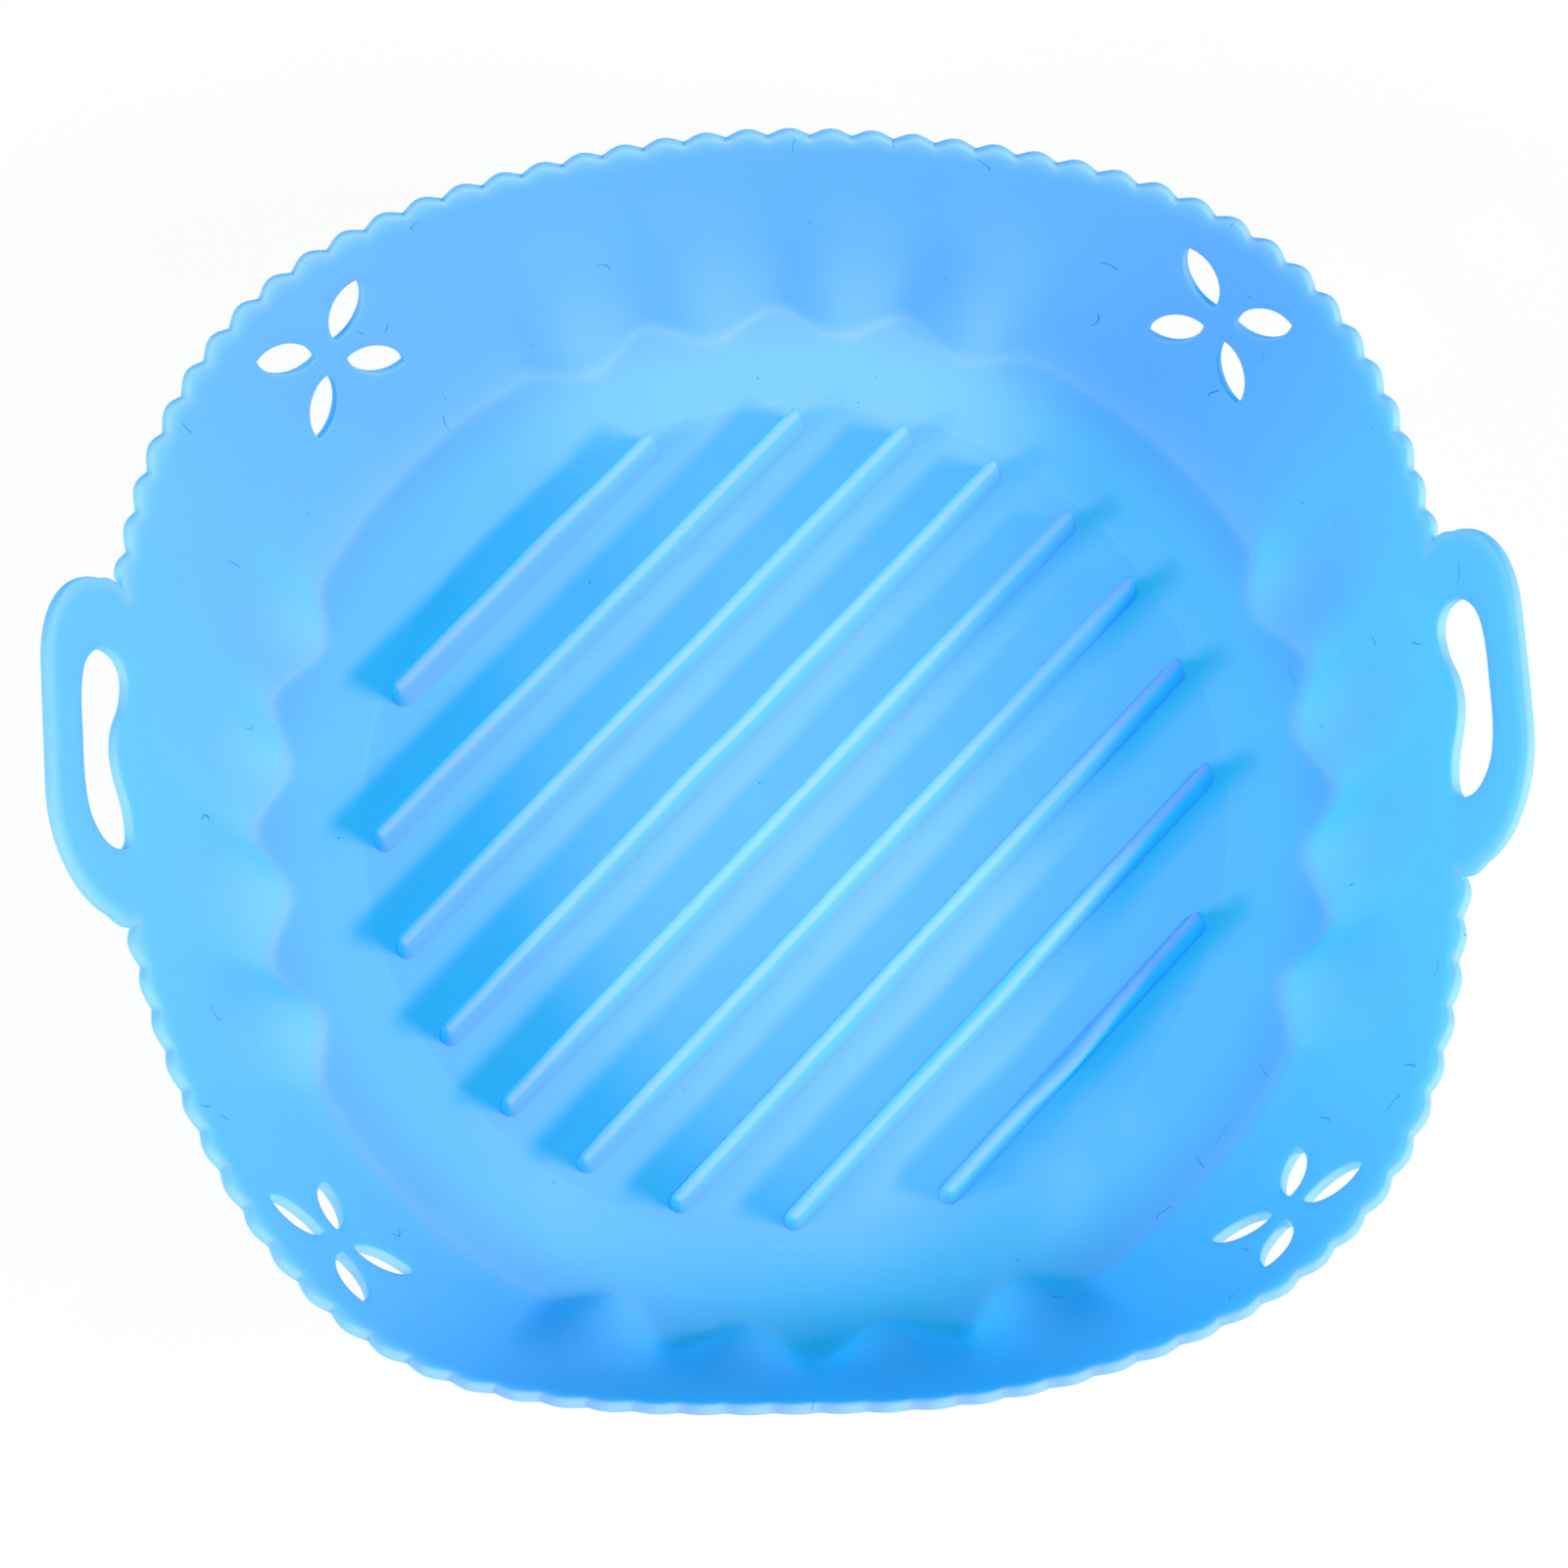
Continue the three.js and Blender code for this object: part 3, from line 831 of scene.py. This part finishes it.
def lay_over(tone, layers):
    for share, colour in layers:
        mix = {0: share, 6: tone, 7: linear(colour)}
        tone = add_node(tree, "ShaderNodeMix", mix, data_type="RGBA")[2]
    return tone


# Painted shade and light: the wall tone is painted darker than the floor, and the ring past the
# recess has a faint tone step of its own and is painted lighter where the walls shade it.
tone = lay_over(linear(RECESS_TONE), [(past_recess, RING_TONE_AND_PAINTED_LIGHT), (on_the_wall, WALL_PAINTED_SHADE_TONE)])
tone = add_node(tree, "ShaderNodeHueSaturation", {"Value": shade, "Color": tone})[0]
# Painted highlight on edges, rims and the heel, and painted shade on the rib flanks.
tone = lay_over(tone, [(painted_light, PAINTED_HIGHLIGHT_TONE), (flank_shade, PAINTED_SHADE_TONE)])
print("tone nodes:", len(tree.nodes))

# %% [markdown]
# ## Lint
# Dust clings to all silicone. A Voronoi pattern divides space into cells, and in each cell near the
# surface lies one wavy fibre, turned by the cell's own colour. A finer pattern gives single specks.
# The fibres are kept to the wall. Both are nodes and not geometry, because they have no thickness
# to speak of.

# %% Lint
LINT_TONE = "#4f9bd8"
FIBRE_CELL = 12.0
FIBRE_REACH = 0.13
FIBRE_HALF_WIDTH = 0.09
CURL_SIZE = 4.0
CURL_SWING = 2.0
SPECK_CELL = 7.0
SPECK_REACH = 0.022

fibre_cells = {"Vector": where, "Scale": 1 / (FIBRE_CELL * MM)}
cell = add_node(tree, "ShaderNodeTexVoronoi", fibre_cells)
from_centre = {0: where, 1: cell["Position"]}
local = add_node(tree, "ShaderNodeVectorMath", from_centre, operation="SUBTRACT")[0]
full_turn = {0: cell["Color"], 1: 2 * math.pi}
spin = add_node(tree, "ShaderNodeMath", full_turn, operation="MULTIPLY")[0]
spun = {"Vector": local, "Angle": spin}
turned = add_node(tree, "ShaderNodeVectorRotate", spun, rotation_type="Z_AXIS")[0]
across = add_node(tree, "ShaderNodeSeparateXYZ", {0: turned})["X"]
curl_noise = {"Vector": where, "Scale": 1 / (CURL_SIZE * MM), "Detail": 0.0}
wave = add_node(tree, "ShaderNodeTexNoise", curl_noise)["Fac"]
swing = {"Value": wave, "To Min": -CURL_SWING * MM, "To Max": CURL_SWING * MM}
curl = add_node(tree, "ShaderNodeMapRange", swing)[0]
on_line = {0: across, 1: curl, 2: FIBRE_HALF_WIDTH * MM}
fibre = add_node(tree, "ShaderNodeMath", on_line, operation="COMPARE")[0]
near_centre = {0: cell["Distance"], 1: FIBRE_REACH}
near = add_node(tree, "ShaderNodeMath", near_centre, operation="LESS_THAN")[0]
for limit in (near, on_the_wall):
    fibre = add_node(tree, "ShaderNodeMath", {0: limit, 1: fibre}, operation="MULTIPLY")[0]
speck_cells = {"Vector": where, "Scale": 1 / (SPECK_CELL * MM)}
speck_distance = add_node(tree, "ShaderNodeTexVoronoi", speck_cells)["Distance"]
in_speck = {0: speck_distance, 1: SPECK_REACH}
speck = add_node(tree, "ShaderNodeMath", in_speck, operation="LESS_THAN")[0]
lint = add_node(tree, "ShaderNodeMath", {0: fibre, 1: speck}, operation="MAXIMUM")[0]
tone = lay_over(tone, [(lint, LINT_TONE)])
print("nodes with the lint:", len(tree.nodes))

# %% [markdown]
# ## Satin skin and light through the sheet
# The mould was blasted, which leaves a fine matt grain and a broad, weak gloss. A Principled shader
# gives that skin, with the refractive index of silicone. A Translucent shader mixed with it lets
# light through to the other side, where it comes out in a clearer blue than the skin's own. The
# real grain is finer than a pixel, so it is drawn as coarse as it needs to be to show.

# %% Silicone surface
FLOOR_GLOW = "#00eaff"
WALL_PAINTED_SHADE_GLOW = "#00e2ff"
LINT_GLOW = "#00a0dc"
GRAIN_SIZE = 0.6
GRAIN_DEPTH = 0.05
GRAIN_STRENGTH = 0.12
SMOOTHEST = 0.48
ROUGHEST = 0.6
SILICONE_IOR = 1.41
GLOSS = 0.2
FLOOR_THROUGH = 0.70
WALL_THROUGH = 0.56
EDGE_THROUGH = 0.55

grain_noise = {"Vector": where, "Scale": 1 / (GRAIN_SIZE * MM), "Detail": 3.0}
grain = add_node(tree, "ShaderNodeTexNoise", grain_noise)["Fac"]
relief = {"Height": grain, "Strength": GRAIN_STRENGTH, "Distance": GRAIN_DEPTH * MM}
bump = add_node(tree, "ShaderNodeBump", relief)[0]
rough_range = {"Value": cloud, "To Min": SMOOTHEST, "To Max": ROUGHEST}
roughness = add_node(tree, "ShaderNodeMapRange", rough_range)[0]
satin_inputs = {
    "Base Color": tone,
    "Roughness": roughness,
    "IOR": SILICONE_IOR,
    "Specular IOR Level": GLOSS,
    "Normal": bump,
}
satin = add_node(tree, "ShaderNodeBsdfPrincipled", satin_inputs)[0]
# Painted shade: the wall's translucent colour has less green than the floor's.
glow = lay_over(linear(FLOOR_GLOW), [(on_the_wall, WALL_PAINTED_SHADE_GLOW), (lint, LINT_GLOW)])
through = add_node(tree, "ShaderNodeBsdfTranslucent", {"Color": glow})[0]
sheet_range = {"Value": on_the_wall, "To Min": FLOOR_THROUGH, "To Max": WALL_THROUGH}
sheet_share = add_node(tree, "ShaderNodeMapRange", sheet_range)[0]
edge_range = {"Value": painted_light, "To Min": sheet_share, "To Max": EDGE_THROUGH}
share = add_node(tree, "ShaderNodeMapRange", edge_range)[0]
mixed = add_node(tree, "ShaderNodeMixShader", {0: share, 1: satin, 2: through})[0]
add_node(tree, "ShaderNodeOutputMaterial", {"Surface": mixed})
for piece in [bowl, right_ear, left_ear, *ribs]:
    piece.data.materials.append(silicone)
print("material:", silicone.name, "nodes:", len(tree.nodes))

# %% [markdown]
# ## Where each piece belongs
# The bowl and the ribs ride on the bowl body. The ears only have their placement baked into their
# points, and are not attached to a body. The solids that the skin stands for are hidden, and stay
# in the physics model.

# %% Bodies
shell_nodes = ["floor_pan", "rim_front", "rim_back"]
shell_nodes += [f"wall_{side}" for side in ("front", "back", "left", "right")]
shell_nodes += [f"corner_{end}_{side}" for end in ("front", "back") for side in ("left", "right")]
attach(bowl, "bowl")
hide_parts(*shell_nodes)
for number, rib in enumerate(ribs, 1):
    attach(rib, "bowl")
    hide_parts(f"rib_{number}")
for ear, name, sign in ((right_ear, "right_ear", 1), (left_ear, "left_ear", -1)):
    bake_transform(ear)
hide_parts("ear_right")
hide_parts("ear_left")
print("pieces on the bowl:", 1 + len(ribs), "bending ears: 2")

# %% [markdown]
# ## White table
# The liner stands on matt white paper, which has no gloss and shows nothing but a soft shadow. What
# the camera sees of the paper, directly or mirrored, is mostly a plain white of its own, so that the
# lamps can stay at a level that suits the liner. The rest is matt and takes the shadow.

# %% Table
TABLE_HALF = 3.0
TABLE_DROP = 0.4
PAPER = "#f4f4f4"
WHITE = (1, 1, 1, 1)
WHITE_SHARE = 0.94


def seen_by_camera(tree):
    path = add_node(tree, "ShaderNodeLightPath")
    seen = path["Is Camera Ray"]
    for ray in ("Is Glossy Ray", "Is Transmission Ray"):
        seen = add_node(tree, "ShaderNodeMath", {0: seen, 1: path[ray]}, operation="MAXIMUM")[0]
    return seen


corners = [(x * TABLE_HALF, y * TABLE_HALF, 0) for x, y in ((-1, -1), (1, -1), (1, 1), (-1, 1))]
table_mesh = bpy.data.meshes.new("white_table")
table_mesh.from_pydata(corners, [], [(0, 1, 2, 3)])
table = bpy.data.objects.new("white_table", table_mesh)
table.location.z = -TABLE_DROP * MM
bpy.context.scene.collection.objects.link(table)
paper, tree = new_material("white_paper_sweep")
seen_white = {0: seen_by_camera(tree), 1: WHITE_SHARE}
share = add_node(tree, "ShaderNodeMath", seen_white, operation="MULTIPLY")[0]
matt = add_node(tree, "ShaderNodeBsdfDiffuse", {"Color": linear(PAPER)})[0]
white = add_node(tree, "ShaderNodeEmission", {"Color": WHITE, "Strength": 1.0})[0]
mixed = add_node(tree, "ShaderNodeMixShader", {0: share, 1: matt, 2: white})[0]
add_node(tree, "ShaderNodeOutputMaterial", {"Surface": mixed})
table_mesh.materials.append(paper)
print("table:", 2 * TABLE_HALF, "m square,", TABLE_DROP, "mm under the liner")

# %% [markdown]
# ## Light
# Two narrow softboxes stand at the left and right, a little to the front. The right one shines
# across the ribs and gives them soft shadows to the left. The left one shines nearly along them and
# gives short shadows at their right ends. A small spot from straight above brightens the middle of
# the floor, where those shadows fade. The sky is white to the camera, but gives the liner only a
# weak fill, so the shadows keep their depth.

# %% Lamps
SKY_FILL = 0.05
SOFTBOX_DISTANCE = 1.2
SOFTBOX_WIDTH = 0.5
SOFTBOX_HEIGHT = 0.15
SPOT_HEIGHT = 0.8
SPOT_POOL_RADIUS = 0.06
SPOT_BULB_RADIUS = 0.04
SPOT_WATTS = 9.5

world = bpy.data.worlds.new("studio")
bpy.context.scene.world = world
world.use_nodes = True
tree = world.node_tree
tree.nodes.clear()
sky_range = {"Value": seen_by_camera(tree), "To Min": SKY_FILL, "To Max": 1.0}
level = add_node(tree, "ShaderNodeMapRange", sky_range)[0]
sky = add_node(tree, "ShaderNodeBackground", {"Color": WHITE, "Strength": level})[0]
add_node(tree, "ShaderNodeOutputWorld", {"Surface": sky})


def soft_lamp(name, azimuth, height, watts):
    lamp = bpy.data.objects.new(name, bpy.data.lights.new(name, "AREA"))
    lamp.data.shape = "RECTANGLE"
    lamp.data.energy = watts
    lamp.data.size = SOFTBOX_WIDTH
    lamp.data.size_y = SOFTBOX_HEIGHT
    a, e = math.radians(azimuth), math.radians(height)
    towards = Vector((math.cos(a) * math.cos(e), math.sin(a) * math.cos(e), math.sin(e)))
    lamp.location = towards * SOFTBOX_DISTANCE
    lamp.rotation_euler = (-lamp.location).to_track_quat("-Z", "Y").to_euler()
    bpy.context.scene.collection.objects.link(lamp)


soft_lamp("left_softbox", azimuth=202, height=33, watts=11)
soft_lamp("right_softbox", azimuth=-20, height=35, watts=18)
snoot = bpy.data.objects.new("overhead_snoot", bpy.data.lights.new("overhead_snoot", "SPOT"))
snoot.location.z = SPOT_HEIGHT
snoot.data.energy = SPOT_WATTS
snoot.data.shadow_soft_size = SPOT_BULB_RADIUS
snoot.data.spot_size = 2 * math.atan(SPOT_POOL_RADIUS / SPOT_HEIGHT)
snoot.data.spot_blend = 1.0
bpy.context.scene.collection.objects.link(snoot)
bpy.context.scene.view_settings.view_transform = "Standard"
print("lamps: 3, sky fill:", SKY_FILL)
